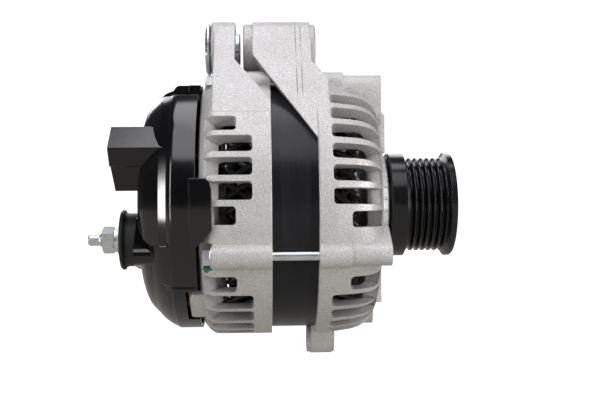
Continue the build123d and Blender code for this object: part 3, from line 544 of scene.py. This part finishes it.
def turned(verts, faces, outline, sides=96):
    """Adds a closed outline of (x, r) points turned about the shaft."""
    first = len(verts)
    for x, r in outline:
        for side in range(sides):
            verts.append(spread(x, 360 * side / sides, r))
    faces += ring_faces(first, len(outline), sides, close=True)


def winding():
    """Hairpin winding: two layers of slanted, looped conductors at each end over a lacing ring."""
    verts, faces = [], []
    low, high = (corner.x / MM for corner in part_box("stator_core"))
    ends = [corner.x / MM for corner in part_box("stator_winding")]
    half = HAIRPIN_SPAN * 360 / SLOTS / 2
    for root, tip in ((low, ends[0] + TIP_ROOM), (high, ends[1] - TIP_ROOM)):
        way = 1 if tip > root else -1
        layers = ((tip, half, OUTER_LAYER), (tip - way * INNER_TIP_BACK, -half, INNER_LAYER))
        for index in range(SLOTS):
            angle = 90 + 360 / SLOTS * index
            for top, lean, (r_out, r_in, depth) in layers:
                path = hairpin_path(root, top, angle, lean, r_out, r_in)
                sweep(verts, faces, path, CONDUCTOR_WIDTH, depth)
        end = tip - way * LACING_BACK
        r_low, r_high = LACING_RADII
        turned(verts, faces, [(root, r_low), (end, r_low), (end, r_high), (root, r_high)])
    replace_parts(piece("hairpin_winding", verts, faces, "winding"), "stator_winding")


def beside(centre, x, r, turn):
    """Point at an angle in radians about a line parallel to the shaft, all in mm."""
    return Vector((x, centre[0] + r * math.cos(turn), centre[1] + r * math.sin(turn))) * MM


def rod(verts, faces, centre, sections, pitch, sides=28):
    """Adds a stud of (x0, x1, r, thread depth) sections; a depth of 0 leaves it plain."""
    first = len(verts)
    rings = 0
    for x0, x1, r, depth in sections:
        steps = int(abs(x1 - x0) / pitch * THREAD_STEPS) + 1 if depth else 1
        for step in range(steps + 1):
            x = x0 + (x1 - x0) * step / steps
            for side in range(sides):
                turn = 2 * math.pi * side / sides
                wave = abs(2 * ((x / pitch + side / sides) % 1.0) - 1)
                verts.append(beside(centre, x, r - depth * wave, turn))
            rings += 1
    faces += ring_faces(first, rings, sides)
    faces.append(tuple(first + side for side in reversed(range(sides))))
    faces.append(tuple(first + (rings - 1) * sides + side for side in range(sides)))


def terminal_stud():
    """Threaded terminal stud with its dog point and the hexagon head inside."""
    low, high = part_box("b_plus_stud")
    nut_low, nut_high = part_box("b_plus_nut")
    centre = ((nut_low.y + nut_high.y) / 2 / MM, (nut_low.z + nut_high.z) / 2 / MM)
    start, end = high.x / MM, low.x / MM
    verts, faces = [], []
    sections = [
        (start - HEAD_DEPTH, start - 3.5, 3.95, 0),
        (start - 3.6, end + 7.0, 3.98, 0.62),
        (end + 6.7, end + 6.6, 3.3, 0),
        (end + 6.3, end + 6.2, 3.2, 0),
        (end + 0.9, end + 0.8, 3.2, 0),
        (end + 0.2, end + 0.02, 2.6, 0),
    ]
    rod(verts, faces, centre, sections, THREAD_PITCH)
    first = len(verts)
    corners = [(start - HEAD_DEPTH, HEAD_R), (start - 0.4, HEAD_R), (start, HEAD_TOP_R)]
    for x, r in corners:
        for side in range(6):
            verts.append(beside(centre, x, r, math.radians(60 * side)))
    faces += ring_faces(first, len(corners), 6)
    faces.append(tuple(first + side for side in reversed(range(6))))
    faces.append(tuple(first + (len(corners) - 1) * 6 + side for side in range(6)))
    stud = piece("terminal_stud", verts, faces, "zinc_steel")
    stud.data.shade_flat()
    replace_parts(stud, "b_plus_stud")


def brush_springs():
    """Coil springs behind the brushes, each wound to fill its spring's box in the part."""
    wire, steps, sides = SPRING_WIRE_R, SPRING_STEPS, SPRING_SIDES
    for end in ("front", "rear"):
        low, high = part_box(f"brush_spring_{end}")
        middle = (low + high) / 2
        reach = (high.x - low.x) / 2 - wire
        verts = []
        for step in range(steps + 1):
            turn = 2 * math.pi * SPRING_TURNS * step / steps
            out = Vector((math.cos(turn), math.sin(turn), 0))
            height = low.z + wire + (high.z - low.z - 2 * wire) * step / steps
            for side in range(sides):
                around = 2 * math.pi * side / sides
                offset = out * (reach + wire * math.cos(around))
                offset += Vector((0, 0, wire * math.sin(around)))
                verts.append(Vector((middle.x, middle.y, height)) + offset)
        faces = [tuple(reversed(face)) for face in ring_faces(0, steps + 1, sides)]
        faces.append(tuple(range(sides)))
        faces.append(tuple(steps * sides + side for side in reversed(range(sides))))
        spring = piece(f"coil_spring_{end}", verts, faces, "spring_steel")
        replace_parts(spring, f"brush_spring_{end}")
        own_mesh(spring)


def surface_at(x, z, nodes):
    """Nearest point of some CAD nodes seen along +Y at a given x and z."""
    found = None
    start = Vector((x, CAD_BOX[0][1] - RAY_ROOM, z))
    for name in nodes:
        obj = NODES[name]
        inverse = obj.matrix_world.inverted()
        way = (inverse.to_3x3() @ Vector((0, 1, 0))).normalized()
        hit, place, _, _ = obj.ray_cast(inverse @ start, way)
        if hit:
            place = obj.matrix_world @ place
            if found is None or place.y < found.y:
                found = place
    return found


def green_mark():
    """Dab of inspection paint on the frame under the near bolt head."""
    middle = Vector((MARK_X, 0, MARK_Z))
    rings, sides = 7, 36
    verts, faces = [], []
    for lift in (MARK_LIFT, MARK_SINK):
        for ring in range(rings):
            for side in range(sides):
                turn = 2 * math.pi * side / sides
                wobble = 1 + 0.16 * math.sin(3 * turn + 0.6) + 0.1 * math.sin(5 * turn + 2.0)
                reach = (ring + 0.02) / (rings - 1) * wobble
                x = middle.x + reach * (0.0024 * math.cos(turn) + 0.0006 * math.sin(turn))
                z = middle.z + reach * (0.0021 * math.sin(turn) - 0.0009 * math.cos(turn))
                place = surface_at(x, z, ("rear_frame",))
                y = place.y if place else MARK_FACE_Y
                verts.append(Vector((x, y - lift, z)))
    faces += [tuple(reversed(face)) for face in ring_faces(0, rings, sides)]
    faces += ring_faces(rings * sides, rings, sides)
    outer, inner = (rings - 1) * sides, (2 * rings - 1) * sides
    for side in range(sides):
        turn = (side + 1) % sides
        faces.append((outer + side, outer + turn, inner + turn, inner + side))
    faces.append(tuple(range(sides)))
    faces.append(tuple(rings * sides + side for side in reversed(range(sides))))
    piece("paint_mark", verts, faces, "cast_aluminium", look=paint_mark())


# ---------------------------------------------------------------- making

camera()
studio()
floor()
LOOKS = assign_materials()
winding()
terminal_stud()
brush_springs()
green_mark()
